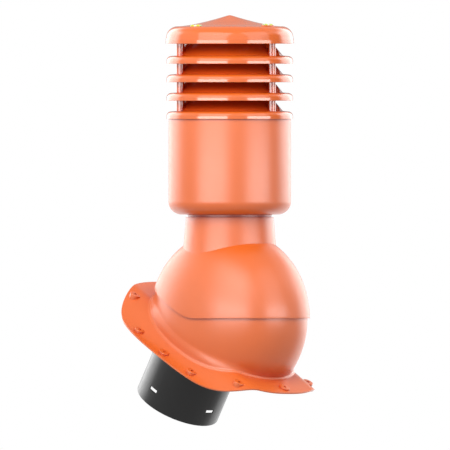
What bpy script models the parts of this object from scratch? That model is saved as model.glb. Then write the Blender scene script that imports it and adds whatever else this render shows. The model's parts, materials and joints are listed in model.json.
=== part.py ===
"""Roof ventilation chimney: a louvred stack on a dome that tilts to suit the pitch of the roof.

Metres, +Z up. The origin is where the flange sits on the roof, straight below the centre of
the dome as the roof slopes. +X points down the slope and level, +Y runs across the slope.
The roof base (flange and pipe) lies along the slope, and the stack above it stands upright.
"""
import math

import bmesh
import bpy
import numpy as np
from mathutils import Matrix

# Roof and tilt, in degrees
ROOF_PITCH = 31.0          # pitch of the roof that the chimney is set for
PITCH_MIN = 5.0            # flattest roof that the dome can be set to
PITCH_MAX = 35.0           # steepest roof that the dome can be set to

# Shared sizes
FIT = 0.0003               # gap between pieces that touch
WALL = 0.003               # wall of the turned mouldings
ROUND_STEPS = 28           # sides of the round pieces, a multiple of four
ARC_STEPS = 2              # pieces of each small rounded corner
CORNER_STEPS = 3           # pieces of the corners of the hood and the cap

# Flange sheet, measured in the plane of the roof
SHEET = 0.0025             # thickness of the flange
FLANGE_LENGTH = 0.3767     # along the slope
FLANGE_OFFSET = 0.0058     # middle of the flange, down the slope from the dome
FLANGE_SQUARENESS = 2.64   # 2 is an ellipse, more is closer to a rectangle
FLANGE_TAPER = 0.062       # share by which the lower end is narrower
FLANGE_STEPS = 36
WAVE_DEPTH = 0.0372        # crest of the wave above its trough
CREST_WIDTH = 0.1307       # flat top of the wave
TROUGH_WIDTH = 0.2706      # from trough to trough
FLANGE_LAP = 0.0072        # of the flange past the middle of each trough
WAVE_STEPS = 5             # strips down each side of the wave

# Screw bosses round the edge of the flange
BOSS_RADIUS = 0.0095
BOSS_HEIGHT = 0.003
BOSS_ALONG = (-0.148, -0.074, 0.0, 0.070, 0.150)  # down each side, from the dome
BOSS_INSET = 0.0162        # from the edge to the middle of a boss
BOSS_HOLE_RADIUS = 0.00275
BOSS_STEPS = 8

# Dome, turned about the tilt axis
AXIS_ABOVE_CREST = 0.035   # tilt axis above the crest of the flange
DOME_RADIUS = 0.1536       # outside of the upper shell
DOME_HALF_WIDTH = 0.1122   # along the tilt axis, outside of the upper shell
DOME_SQUARENESS = 2.28
DOME_WALL = 0.0032
SHELL_GAP = 0.0008         # between the two shells
DOME_STEPS = 32
DOME_RINGS = 12
FOOT_INSET = 0.0034        # foot of the lower shell, inside its widest line
FOOT_SQUARENESS = 2.68
FOOT_STEPS = 32
SKIRT_CLEARANCE = 0.002    # between the straight walls and the upper shell at the steepest pitch
SKIRT_HEIGHT = 0.018       # of the slope above the straight walls
SKIRT_SLOPE = 0.007        # how far the skirt comes out of the dome down the slope
FOOT_BEAD_WIDTH = 0.0018   # bead round the foot of the lower shell
FOOT_BEAD_HEIGHT = 0.0016
THROAT_ABOVE_AXIS = 0.030  # lowest point of the lower shell's opening
THROAT_LAP = 4.0           # degrees by which the shells still lap at the flattest pitch
THROAT_FRONT = 32.0        # degrees from the stack axis to the opening's lower lip

# Lower edge of the upper shell, seen along the tilt axis
SEAM_RISE = 24.5           # degrees that the edge rises towards the ridge
SEAM_CORNER = 0.005        # where the level and rising parts would meet
SEAM_ROUND = 0.088

# Neck on the upper shell
NECK_TOP = 0.177           # above the tilt axis
NECK_FLARE = 0.085         # growth of the neck's radius for each metre down
NECK_EDGE = 0.002
SPIGOT_RADIUS = 0.0733     # tube of the hood that plugs into the neck
SPIGOT_DEPTH = 0.030

# Hood
HOOD_GAP = 0.0043          # between the neck and the hood
HOOD_HEIGHT = 0.1665       # from its bottom to the lowest louvre
HOOD_RADIUS = 0.107
HOOD_CORNER = 0.023

# Louvre rings
RING_COUNT = 4
RING_PITCH = 0.03225
RIM_CLEARANCE = 0.0004     # between the hood and the lowest rim round it
RIM_HEIGHT = 0.0052        # straight part of the rim
RIM_CORNER = 0.0085
SHOULDER_RADIUS = 0.0928   # where the shoulder turns up into the cone
SHOULDER_RISE = 0.0008
CONE_ANGLE = 50.0
CORE_RADIUS = 0.0738       # air way through the rings

# Posts and webs between the rings
POST_COUNT = 3
POST_TURN = 7.1            # azimuth of the first post, in degrees
POST_RING = 0.0928
POST_RADIUS = 0.0071
POST_STEPS = 8
WEB_THICKNESS = 0.0025
WEB_INSIDE = 0.003         # from the air way to the web

# Cap
CAP_RISE = 0.035           # bottom of the cap above the bottom of the highest ring
CAP_RADIUS = 0.1119
CAP_DRAFT = 0.001
CAP_SKIRT = 0.0105
CAP_CORNER = 0.02
CAP_CONE_RADIUS = 0.089
CAP_CONE_HEIGHT = 0.0194
CAP_CONE_CURVE = 1.42
CAP_CONE_RINGS = 3

# Spirit levels on the cap
LEVELS = ((3.4, 0.0322), (-86.6, 0.0306))  # azimuth in degrees, height above the cap's bottom
LEVEL_RING = 0.0885
LEVEL_LENGTH = 0.024
LEVEL_RADIUS = 0.0026
SEAT_MARGIN = 0.0035       # seat round each level
SEAT_WALL = 0.0015         # under each level
SEAT_CORNER = 0.0012
LEVEL_STEPS = 8

# Pipe below the roof
PIPE_RADIUS = 0.0755
PIPE_WALL = 0.0025
PIPE_OFFSET = -0.0335      # down the slope from the dome
PIPE_BELOW_AXIS = 0.1943
PIPE_ABOVE_CREST = 0.020
COLLAR_WALL = 0.003
COLLAR_BELOW_CREST = 0.025
SLOT_COUNT = 4
SLOT_WIDTH = 0.018
SLOT_HEIGHT = 0.006
SLOT_ABOVE_END = 0.029

# Worked out from the sizes above
FLANGE_WIDTH = TROUGH_WIDTH + 2 * FLANGE_LAP
AXIS_HEIGHT = WAVE_DEPTH + SHEET + AXIS_ABOVE_CREST
NECK_TOP_RADIUS = SPIGOT_RADIUS + FIT + DOME_WALL
HOOD_BOTTOM = NECK_TOP + HOOD_GAP
RING_RADIUS = HOOD_RADIUS + RIM_CLEARANCE + WALL
RINGS_BOTTOM = HOOD_BOTTOM + HOOD_HEIGHT
SHOULDER_HEIGHT = RIM_HEIGHT + RIM_CORNER
CAP_BOTTOM = RINGS_BOTTOM + RING_PITCH * (RING_COUNT - 1) + CAP_RISE
POST_TOP = RING_PITCH + SHOULDER_HEIGHT - WALL - FIT
SKIRT_SHOULDER = DOME_RADIUS * math.sin(math.radians(PITCH_MAX - SEAM_RISE)) + SKIRT_CLEARANCE
REACH = 2 * (FLANGE_LENGTH + DOME_RADIUS)  # longer than any piece that a cutter goes through


def clear_scene():
    for obj in list(bpy.data.objects):
        bpy.data.objects.remove(obj, do_unlink=True)
    for collection in list(bpy.data.collections):
        bpy.data.collections.remove(collection)


def new_collection(name):
    collection = bpy.data.collections.new(name)
    bpy.context.scene.collection.children.link(collection)
    return collection


def material(name, colour, roughness, transmission=0.0):
    mat = bpy.data.materials.new(name)
    mat.use_nodes = True
    shader = mat.node_tree.nodes["Principled BSDF"]
    shader.inputs["Base Color"].default_value = (*colour, 1.0)
    shader.inputs["Roughness"].default_value = roughness
    shader.inputs["Metallic"].default_value = 0.0
    shader.inputs["Transmission Weight"].default_value = transmission
    return mat


def frame_empty(name, collection, location, rotation=(0.0, 0.0, 0.0)):
    empty = bpy.data.objects.new(name, None)
    collection.objects.link(empty)
    empty.location = location
    empty.rotation_euler = rotation
    return empty


def add_object(name, mesh, collection, parent=None, location=(0.0, 0.0, 0.0), rotation=(0.0, 0.0, 0.0)):
    obj = bpy.data.objects.new(name, mesh)
    collection.objects.link(obj)
    obj.parent = parent
    obj.location = location
    obj.rotation_euler = rotation
    return obj


def as_cutter(obj):
    obj.hide_render = True
    obj.display_type = "WIRE"
    return obj


def combine(obj, other, operation):
    boolean = obj.modifiers.new(operation.title(), "BOOLEAN")
    boolean.object = other
    boolean.operation = operation
    boolean.solver = "EXACT"


def arc(centre, radius, start, end, steps=ARC_STEPS):
    """Points round a circle from one angle to another, in degrees, both ends included."""
    angles = np.radians(np.linspace(start, end, steps + 1))
    return [(centre[0] + radius * math.cos(a), centre[1] + radius * math.sin(a)) for a in angles]


def inset(profile, distance):
    """The profile moved inwards by a distance, to the right of its direction."""
    points = [np.array(point) for point in profile]
    normals = []
    for start, end in zip(points, points[1:]):
        along = (end - start) / np.linalg.norm(end - start)
        normals.append(np.array((along[1], -along[0])))
    moved = []
    for index, point in enumerate(points):
        before = normals[max(index - 1, 0)]
        after = normals[min(index, len(normals) - 1)]
        mitre = (before + after) / (1.0 + float(before @ after))
        moved.append(tuple(point + mitre * distance))
    return moved


def prism(name, outline, low, high, collection, turn=None, **place):
    """An outline in X and Y drawn up from low to high along Z, then turned by a matrix."""
    bm = bmesh.new()
    face = bm.faces.new([bm.verts.new((x, y, low)) for x, y in outline])
    grown = bmesh.ops.extrude_face_region(bm, geom=[face])
    tops = [item for item in grown["geom"] if isinstance(item, bmesh.types.BMVert)]
    bmesh.ops.translate(bm, verts=tops, vec=(0.0, 0.0, high - low))
    bmesh.ops.recalc_face_normals(bm, faces=bm.faces)
    if turn is not None:
        bm.transform(turn)
    mesh = bpy.data.meshes.new(name)
    bm.to_mesh(mesh)
    bm.free()
    return add_object(name, mesh, collection, **place)


def turned(name, profile, collection, closed=False, steps=ROUND_STEPS, **place):
    """A profile of radius and height, top to bottom down its outer side, turned about Z."""
    mesh = bpy.data.meshes.new(name)
    count = len(profile)
    edges = [(index, index + 1) for index in range(count - 1)]
    if closed:
        edges.append((count - 1, 0))
    mesh.from_pydata([(radius, 0.0, height) for radius, height in profile], edges, [])
    obj = add_object(name, mesh, collection, **place)
    screw = obj.modifiers.new("Turn", "SCREW")
    screw.steps = steps
    screw.render_steps = steps
    screw.use_merge_vertices = True
    screw.merge_threshold = 0.00001
    screw.use_smooth_shade = True
    return obj


def rods(name, places, radius, low, high, steps, collection, **place):
    """Upright round rods in one mesh, at places of (x, y, base height)."""
    bm = bmesh.new()
    for x, y, base in places:
        middle = Matrix.Translation((x, y, base + (low + high) / 2))
        bmesh.ops.create_cone(bm, cap_ends=True, segments=steps, radius1=radius, radius2=radius,
                              depth=high - low, matrix=middle)
    mesh = bpy.data.meshes.new(name)
    bm.to_mesh(mesh)
    bm.free()
    return add_object(name, mesh, collection, **place)


def box(name, low, high, collection, **place):
    bm = bmesh.new()
    size = [b - a for a, b in zip(low, high)]
    middle = [(a + b) / 2 for a, b in zip(low, high)]
    bmesh.ops.create_cube(bm, size=1.0, matrix=Matrix.LocRotScale(middle, None, size))
    mesh = bpy.data.meshes.new(name)
    bm.to_mesh(mesh)
    bm.free()
    return add_object(name, mesh, collection, **place)


def finish(obj, mat):
    obj.data.materials.append(mat)
    if obj.data.polygons:
        obj.data.shade_smooth()
        obj.data.set_sharp_from_angle(angle=math.radians(35))
    return obj


# Matrices that stand a drawn outline on its side
ALONG_Y = Matrix.Rotation(math.radians(90), 4, "X")              # outline in X and Z
ALONG_X = Matrix(((0, 0, 1, 0), (1, 0, 0, 0), (0, 1, 0, 0), (0, 0, 0, 1)))  # outline in Y and Z
TURN_ABOUT_Y = (math.radians(90), 0.0, 0.0)                      # stands a turned solid on its side


def wave_height(across):
    """Top of the flange sheet above the roof seat, at a distance across the slope."""
    flat = CREST_WIDTH / 2
    share = (abs(across) - flat) / (TROUGH_WIDTH / 2 - flat)
    share = min(max(share, 0.0), 1.0)
    return SHEET + WAVE_DEPTH * (1.0 - share * share * (3.0 - 2.0 * share))


def wave_line(lift):
    """The wave across the whole flange and past its edges, raised by a distance."""
    flat = CREST_WIDTH / 2
    side = list(np.linspace(flat, TROUGH_WIDTH / 2, WAVE_STEPS + 1)) + [REACH / 2]
    line = [-across for across in reversed(side)] + side
    return [(across, wave_height(across) + lift) for across in line]


def wave_block(name, low, high, collection, parent):
    """Solid between two copies of the wave; with no lower one it goes down deep."""
    top = wave_line(high)
    if low is None:
        bottom = [(top[0][0], -REACH / 2), (top[-1][0], -REACH / 2)]
    else:
        bottom = wave_line(low)
    return prism(name, top + bottom[::-1], -REACH / 2, REACH / 2, collection, ALONG_X, parent=parent)


def flange_half_width(along):
    """Half the width of the flange at a distance down the slope from its middle."""
    share = min(abs(along) / (FLANGE_LENGTH / 2), 1.0)
    swell = (1.0 - share ** FLANGE_SQUARENESS) ** (1.0 / FLANGE_SQUARENESS)
    return FLANGE_WIDTH / 2 * swell * (1.0 - FLANGE_TAPER * along / (FLANGE_LENGTH / 2))


def flange_outline():
    points = []
    for step in range(FLANGE_STEPS):
        angle = 2 * math.pi * (step + 0.5) / FLANGE_STEPS
        cosine = math.cos(angle)
        along = math.copysign(abs(cosine) ** (2 / FLANGE_SQUARENESS), cosine) * FLANGE_LENGTH / 2
        across = math.copysign(flange_half_width(along), math.sin(angle))
        points.append((FLANGE_OFFSET + along, across))
    return points


def boss_places():
    """Middles of the screw bosses: five down each side and one at each end."""
    places = []
    small = 0.001
    for station in BOSS_ALONG:
        along = station - FLANGE_OFFSET
        width = flange_half_width(along)
        slope = (flange_half_width(along + small) - width) / small
        across = width - BOSS_INSET * math.hypot(1.0, slope)
        places += [(station, across), (station, -across)]
    for end in (-1, 1):
        places.append((FLANGE_OFFSET + end * (FLANGE_LENGTH / 2 - BOSS_INSET), 0.0))
    return places


def dome_profile(shrink):
    """Half outline of the dome from pole to pole, a distance inside the upper shell's outside."""
    radius = DOME_RADIUS - shrink
    half_width = DOME_HALF_WIDTH - shrink
    points = []
    for step in range(DOME_RINGS + 1):
        angle = math.pi * (0.5 - step / DOME_RINGS)
        out = radius * max(math.cos(angle), 0.0) ** (2 / DOME_SQUARENESS)
        along = half_width * math.copysign(abs(math.sin(angle)) ** (2 / DOME_SQUARENESS), angle)
        points.append((0.0 if step in (0, DOME_RINGS) else out, along))
    return points


def dome(name, shrink, collection, parent, height):
    return as_cutter(turned(name, dome_profile(shrink), collection, steps=DOME_STEPS, parent=parent,
                            location=(0.0, 0.0, height), rotation=TURN_ABOUT_Y))


def foot_outline(shrink):
    """Outline of the lower shell's foot in the plane of the roof, drawn in by a distance."""
    length = DOME_RADIUS - FOOT_INSET - shrink
    width = DOME_HALF_WIDTH - FOOT_INSET - shrink
    points = []
    for step in range(FOOT_STEPS):
        angle = 2 * math.pi * (step + 0.5) / FOOT_STEPS
        cosine, sine = math.cos(angle), math.sin(angle)
        points.append((math.copysign(abs(cosine) ** (2 / FOOT_SQUARENESS), cosine) * length,
                       math.copysign(abs(sine) ** (2 / FOOT_SQUARENESS), sine) * width))
    return points


def skirt(name, shrink, collection, parent, low):
    """Straight walls under the dome, from a low level up to where they slope into it."""
    bm = bmesh.new()
    rings = []
    for height, inward in ((low, 0.0), (AXIS_HEIGHT - SKIRT_SHOULDER, 0.0),
                           (AXIS_HEIGHT - SKIRT_SHOULDER + SKIRT_HEIGHT, SKIRT_SLOPE)):
        rings.append([bm.verts.new((x, y, height)) for x, y in foot_outline(shrink + inward)])
    bm.faces.new(rings[0][::-1])
    bm.faces.new(rings[-1])
    for lower, upper in zip(rings, rings[1:]):
        for index in range(FOOT_STEPS):
            after = (index + 1) % FOOT_STEPS
            bm.faces.new((lower[index], lower[after], upper[after], upper[index]))
    mesh = bpy.data.meshes.new(name)
    bm.to_mesh(mesh)
    bm.free()
    return as_cutter(add_object(name, mesh, collection, parent))


def throat_outline():
    """Opening of the lower shell, seen along the tilt axis, clear of the neck at every pitch."""
    low = math.radians(90.0 + PITCH_MIN - THROAT_FRONT)
    high = math.radians(180.0 - SEAM_RISE + PITCH_MIN - THROAT_LAP)
    middle = (low + high) / 2
    apex = (THROAT_ABOVE_AXIS * math.cos(middle), THROAT_ABOVE_AXIS * math.sin(middle))
    far = REACH / 2
    corners = [apex]
    for angle in (low, middle, high):
        corners.append((far * math.cos(angle), AXIS_HEIGHT + far * math.sin(angle)))
    corners[0] = (apex[0], apex[1] + AXIS_HEIGHT)
    return corners


def build_roof_flange(parts, cutters, base, mat):
    """Flange sheet, lower shell of the dome, foot bead, pipe collar and bosses, in one moulding."""
    sheet = wave_block("roof_flange", -SHEET, 0.0, parts, base)
    outline = as_cutter(prism("flange_outline", flange_outline(), -REACH / 2, REACH / 2, cutters,
                              parent=base))
    under = as_cutter(wave_block("under_sheet", None, -SHEET / 2, cutters, base))
    shell = SHELL_GAP + DOME_WALL

    bead = skirt("foot_bead", shell - FOOT_BEAD_WIDTH, cutters, base, -REACH / 2)
    band = as_cutter(wave_block("bead_band", -SHEET, FOOT_BEAD_HEIGHT, cutters, base))
    combine(bead, band, "INTERSECT")
    places = [(x, y, wave_height(y)) for x, y in boss_places()]
    bosses = as_cutter(rods("bosses", places, BOSS_RADIUS, -WAVE_DEPTH, BOSS_HEIGHT, BOSS_STEPS,
                            cutters, parent=base))
    raised = dome("lower_shell", shell, cutters, base, AXIS_HEIGHT)
    combine(raised, skirt("lower_skirt", shell, cutters, base, 0.0), "UNION")
    combine(raised, bead, "UNION")
    combine(raised, bosses, "UNION")
    combine(raised, under, "DIFFERENCE")

    cavity = dome("lower_cavity", shell + DOME_WALL, cutters, base, AXIS_HEIGHT)
    combine(cavity, skirt("skirt_cavity", shell + DOME_WALL, cutters, base, SHEET), "UNION")
    floor = as_cutter(wave_block("dome_floor", None, FIT, cutters, base))
    combine(cavity, floor, "DIFFERENCE")
    throat = as_cutter(prism("throat", throat_outline(), -REACH / 2, REACH / 2, cutters, ALONG_Y,
                             parent=base))
    crest = wave_height(0.0)
    middle = [(PIPE_OFFSET, 0.0, crest)]
    collar = as_cutter(rods("pipe_collar", middle, PIPE_RADIUS + FIT + COLLAR_WALL,
                            -COLLAR_BELOW_CREST, PIPE_ABOVE_CREST, ROUND_STEPS, cutters, parent=base))
    socket = as_cutter(rods("pipe_socket", middle, PIPE_RADIUS + FIT, -REACH / 2,
                            PIPE_ABOVE_CREST + COLLAR_WALL, ROUND_STEPS, cutters, parent=base))
    holes = as_cutter(rods("boss_holes", places, BOSS_HOLE_RADIUS, -REACH / 2, BOSS_HEIGHT + SHEET,
                           BOSS_STEPS, cutters, parent=base))
    combine(sheet, outline, "INTERSECT")
    combine(sheet, raised, "UNION")
    combine(sheet, cavity, "DIFFERENCE")
    combine(sheet, throat, "DIFFERENCE")
    combine(sheet, collar, "UNION")
    combine(sheet, socket, "DIFFERENCE")
    combine(sheet, holes, "DIFFERENCE")
    finish(sheet, mat)


def build_duct_pipe(parts, cutters, base, mat):
    top = wave_height(0.0) + PIPE_ABOVE_CREST
    bottom = AXIS_HEIGHT - PIPE_BELOW_AXIS
    inside = PIPE_RADIUS - PIPE_WALL
    profile = [(PIPE_RADIUS, top), (PIPE_RADIUS, bottom), (inside, bottom), (inside, top)]
    pipe = turned("duct_pipe", profile, parts, closed=True, parent=base,
                  location=(PIPE_OFFSET, 0.0, 0.0))
    middle = bottom + SLOT_ABOVE_END
    for index in range(SLOT_COUNT):
        low = (inside - PIPE_WALL, -SLOT_WIDTH / 2, middle - SLOT_HEIGHT / 2)
        high = (PIPE_RADIUS + PIPE_WALL, SLOT_WIDTH / 2, middle + SLOT_HEIGHT / 2)
        slot = as_cutter(box(f"pipe_slot_{index + 1}", low, high, cutters, parent=base,
                             location=(PIPE_OFFSET, 0.0, 0.0),
                             rotation=(0.0, 0.0, 2 * math.pi * index / SLOT_COUNT)))
        combine(pipe, slot, "DIFFERENCE")
    finish(pipe, mat)


def seam_outline():
    """Everything below the upper shell's edge: level down the slope, rising towards the ridge."""
    half = math.radians(SEAM_RISE) / 2
    start = SEAM_CORNER + SEAM_ROUND * math.tan(half)
    bend = arc((start, SEAM_ROUND), SEAM_ROUND, -90.0, -90.0 - SEAM_RISE, CORNER_STEPS)
    far = REACH / 2
    rise = math.radians(SEAM_RISE)
    last = bend[-1]
    end = (last[0] - far * math.cos(rise), last[1] + far * math.sin(rise))
    return [(far, 0.0)] + bend + [end, (end[0], -far), (far, -far)]


def build_upper_dome(parts, cutters, stack, mat):
    """Upper shell of the dome with the neck on it, in one moulding."""
    deep = NECK_TOP / 3  # well inside the dome
    foot_radius = NECK_TOP_RADIUS + NECK_FLARE * (NECK_TOP - deep)
    edge = arc((NECK_TOP_RADIUS - NECK_EDGE, NECK_TOP - NECK_EDGE), NECK_EDGE, 90.0, 0.0)
    neck = turned("upper_dome", [(0.0, NECK_TOP)] + edge + [(foot_radius, deep), (0.0, deep)],
                  parts, parent=stack)
    outside = dome("upper_shell", 0.0, cutters, stack, 0.0)
    cavity = dome("upper_cavity", DOME_WALL, cutters, stack, 0.0)
    bore = SPIGOT_RADIUS + FIT
    socket_end = NECK_TOP - SPIGOT_DEPTH - FIT
    way = [(0.0, NECK_TOP + NECK_EDGE), (bore, NECK_TOP + NECK_EDGE), (bore, socket_end),
           (foot_radius - DOME_WALL, deep), (0.0, deep)]
    neck_bore = as_cutter(turned("neck_bore", way, cutters, parent=stack))
    seam = as_cutter(prism("seam", seam_outline(), -REACH / 2, REACH / 2, cutters, ALONG_Y,
                           parent=stack))
    combine(neck, outside, "UNION")
    combine(neck, cavity, "DIFFERENCE")
    combine(neck, neck_bore, "DIFFERENCE")
    combine(neck, seam, "DIFFERENCE")
    finish(neck, mat)


def hood_lap():
    """How far the hood's top edge reaches up inside the lowest ring's rim."""
    radii, heights = zip(*inset(ring_profile(), WALL))
    return float(np.interp(HOOD_RADIUS, radii, heights)) - FIT


def build_hood(parts, stack, mat):
    """Round hood with a flat bottom and the tube that plugs into the neck."""
    bottom = HOOD_BOTTOM
    corner = arc((HOOD_RADIUS - HOOD_CORNER, bottom + HOOD_CORNER), HOOD_CORNER, 0.0, -90.0, CORNER_STEPS)
    outer = [(HOOD_RADIUS, RINGS_BOTTOM + hood_lap())] + corner
    outer += [(SPIGOT_RADIUS, bottom), (SPIGOT_RADIUS, NECK_TOP - SPIGOT_DEPTH)]
    finish(turned("hood_body", outer + inset(outer, WALL)[::-1], parts, closed=True, parent=stack),
           mat)


def ring_profile():
    """Outer side of a louvre ring, from the lip of its cone down to the foot of its rim."""
    shoulder = SHOULDER_HEIGHT + SHOULDER_RISE
    lip = shoulder + (SHOULDER_RADIUS - CORE_RADIUS) * math.tan(math.radians(CONE_ANGLE))
    corner = arc((RING_RADIUS - RIM_CORNER, RIM_HEIGHT), RIM_CORNER, 90.0, 0.0)
    return [(CORE_RADIUS, lip), (SHOULDER_RADIUS, shoulder)] + corner + [(RING_RADIUS, 0.0)]


def post_places(base):
    turns = [math.radians(POST_TURN + 360.0 * index / POST_COUNT) for index in range(POST_COUNT)]
    return [(POST_RING * math.cos(turn), POST_RING * math.sin(turn), base) for turn in turns]


def ring_mesh(cutters):
    """Mesh of one louvre ring with the posts and webs that carry the ring above."""
    outer = ring_profile()
    top = outer[0][1]
    ring = turned("ring_outside", [(0.0, top)] + outer + [(0.0, 0.0)], cutters)
    posts = as_cutter(rods("ring_posts", post_places(0.0), POST_RADIUS, RIM_HEIGHT, POST_TOP,
                           POST_STEPS, cutters))
    combine(ring, posts, "UNION")
    inner_end = CORE_RADIUS + WEB_INSIDE
    for index in range(POST_COUNT):
        turn = math.radians(POST_TURN + 360.0 * index / POST_COUNT)
        web = as_cutter(box(f"ring_web_{index + 1}", (inner_end, -WEB_THICKNESS / 2, RIM_HEIGHT),
                            (POST_RING, WEB_THICKNESS / 2, POST_TOP - FIT), cutters,
                            rotation=(0.0, 0.0, turn)))
        combine(ring, web, "UNION")
    inner = inset(outer, WALL)
    inner[0] = (CORE_RADIUS, inner[0][1])
    inner[-1] = (inner[-1][0], -WALL)
    hollow = [(0.0, top + WALL), (CORE_RADIUS, top + WALL)] + inner + [(0.0, -WALL)]
    combine(ring, as_cutter(turned("ring_hollow", hollow, cutters)), "DIFFERENCE")
    bpy.context.view_layer.update()
    evaluated = ring.evaluated_get(bpy.context.evaluated_depsgraph_get())
    mesh = bpy.data.meshes.new_from_object(evaluated)
    bpy.data.objects.remove(ring, do_unlink=True)
    return mesh


def build_rings(parts, cutters, stack, mat):
    mesh = ring_mesh(cutters)
    mesh.materials.clear()
    mesh.materials.append(mat)
    mesh.shade_smooth()
    mesh.set_sharp_from_angle(angle=math.radians(35))
    for index in range(RING_COUNT):
        height = RINGS_BOTTOM + RING_PITCH * (RING_COUNT - 1 - index)
        add_object(f"louvre_ring_{index + 1}", mesh, parts, stack, (0.0, 0.0, height))


def cap_profile():
    """Outer side of the cap: a low hollow-sided cone, a round shoulder and a skirt."""
    top = CAP_SKIRT + CAP_CORNER
    points = []
    for step in range(CAP_CONE_RINGS + 1):
        share = step / CAP_CONE_RINGS
        rise = CAP_CONE_HEIGHT * (1.0 - share) ** CAP_CONE_CURVE
        points.append((CAP_CONE_RADIUS * share, top + rise))
    centre = (CAP_RADIUS - CAP_DRAFT - CAP_CORNER, CAP_SKIRT)
    points += arc(centre, CAP_CORNER, 90.0, 0.0, CORNER_STEPS)
    return points + [(CAP_RADIUS, 0.0)]


def build_cap(parts, cutters, stack, mat, level_mat):
    """Cap with its post ends and level seats, and the two spirit levels that lie in the seats."""
    place = {"parent": stack, "location": (0.0, 0.0, CAP_BOTTOM)}
    outer = cap_profile()
    cap = turned("cap", outer + [(0.0, 0.0)], parts, **place)
    inner = inset(outer, WALL)
    inner[0] = (0.0, inner[0][1])
    inner[-1] = (inner[-1][0], -WALL)
    hollow = as_cutter(turned("cap_hollow", inner + [(0.0, -WALL)], cutters, **place))
    meet = POST_TOP + FIT - CAP_RISE
    posts = as_cutter(rods("cap_posts", post_places(0.0), POST_RADIUS, meet, outer[0][1], POST_STEPS,
                           cutters, **place))
    combine(hollow, posts, "DIFFERENCE")

    half_length = LEVEL_LENGTH / 2 + SEAT_MARGIN
    half_width = LEVEL_RADIUS + SEAT_MARGIN
    grooves = []
    for index, (turn, height) in enumerate(LEVELS):
        spin = (0.0, 0.0, math.radians(turn))
        low = (LEVEL_RING - half_width, -half_length, CAP_SKIRT)
        high = (LEVEL_RING + half_width, half_length, height)
        seat = as_cutter(box(f"level_seat_{index + 1}", low, high, cutters, rotation=spin, **place))
        bevel = seat.modifiers.new("Chamfer", "BEVEL")
        bevel.width = SEAT_CORNER
        bevel.segments = 1
        combine(cap, seat, "UNION")
        under = height - LEVEL_RADIUS - FIT - SEAT_WALL
        pad = as_cutter(box(f"level_pad_{index + 1}", (low[0], low[1], under), high, cutters,
                            rotation=spin, **place))
        combine(hollow, pad, "DIFFERENCE")
        for name, group, extra in ((f"level_vial_{index + 1}", parts, 0.0),
                                   (f"level_groove_{index + 1}", cutters, FIT)):
            radius = LEVEL_RADIUS + extra
            length = LEVEL_LENGTH + 2 * extra
            rod = rods(name, [(0.0, 0.0, 0.0)], radius, -length / 2, length / 2, LEVEL_STEPS, group,
                       parent=stack, rotation=(math.radians(90), 0.0, spin[2]),
                       location=(LEVEL_RING * math.cos(spin[2]), LEVEL_RING * math.sin(spin[2]),
                                 CAP_BOTTOM + height))
            if extra:
                grooves.append(as_cutter(rod))
            else:
                finish(rod, level_mat)
    combine(cap, hollow, "DIFFERENCE")
    for groove in grooves:
        combine(cap, groove, "DIFFERENCE")
    finish(cap, mat)


def main():
    clear_scene()
    parts = new_collection("roof_ventilation_chimney")
    cutters = new_collection("cutters")
    orange = material("orange_plastic", (0.83, 0.20, 0.065), 0.30)
    black = material("black_plastic", (0.016, 0.016, 0.017), 0.35)
    level = material("level_fluid", (0.62, 0.72, 0.08), 0.05, 0.6)

    pitch = math.radians(ROOF_PITCH)
    base = frame_empty("roof_plane", parts, (0.0, 0.0, 0.0), (0.0, pitch, 0.0))
    axis = (AXIS_HEIGHT * math.sin(pitch), 0.0, AXIS_HEIGHT * math.cos(pitch))
    stack = frame_empty("tilt_axis", parts, axis)

    build_roof_flange(parts, cutters, base, orange)
    build_duct_pipe(parts, cutters, base, black)
    build_upper_dome(parts, cutters, stack, orange)
    build_hood(parts, stack, orange)
    build_rings(parts, cutters, stack, orange)
    build_cap(parts, cutters, stack, orange, level)


main()
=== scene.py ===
"""Roof ventilation chimney: the finished surfaces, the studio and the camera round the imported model."""
import json
import math

import bmesh
import bpy
import numpy as np
from mathutils import Matrix, Vector

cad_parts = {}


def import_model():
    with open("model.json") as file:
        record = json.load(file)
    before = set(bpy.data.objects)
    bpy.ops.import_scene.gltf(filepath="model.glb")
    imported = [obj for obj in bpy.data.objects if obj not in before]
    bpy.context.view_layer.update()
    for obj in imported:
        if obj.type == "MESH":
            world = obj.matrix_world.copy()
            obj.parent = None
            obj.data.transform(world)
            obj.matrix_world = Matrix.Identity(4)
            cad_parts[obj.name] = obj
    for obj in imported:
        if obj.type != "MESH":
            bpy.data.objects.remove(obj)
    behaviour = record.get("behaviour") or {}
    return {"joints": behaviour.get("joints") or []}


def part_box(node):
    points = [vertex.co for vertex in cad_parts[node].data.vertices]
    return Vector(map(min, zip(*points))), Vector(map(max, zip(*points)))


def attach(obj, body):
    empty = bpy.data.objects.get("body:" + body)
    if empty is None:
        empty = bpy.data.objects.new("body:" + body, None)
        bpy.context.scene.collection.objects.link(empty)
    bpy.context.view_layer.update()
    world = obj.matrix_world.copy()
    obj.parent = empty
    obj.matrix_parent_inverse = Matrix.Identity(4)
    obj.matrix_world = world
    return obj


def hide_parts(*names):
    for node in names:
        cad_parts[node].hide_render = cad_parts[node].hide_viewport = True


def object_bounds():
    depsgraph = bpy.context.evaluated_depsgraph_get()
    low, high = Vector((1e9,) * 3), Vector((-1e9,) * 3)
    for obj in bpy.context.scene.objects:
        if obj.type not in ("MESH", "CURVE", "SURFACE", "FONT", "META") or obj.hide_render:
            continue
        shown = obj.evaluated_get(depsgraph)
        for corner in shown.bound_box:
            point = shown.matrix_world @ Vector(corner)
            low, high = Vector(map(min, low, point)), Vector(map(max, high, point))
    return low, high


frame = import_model()
cad_box = [list(corner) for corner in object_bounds()]

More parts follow.
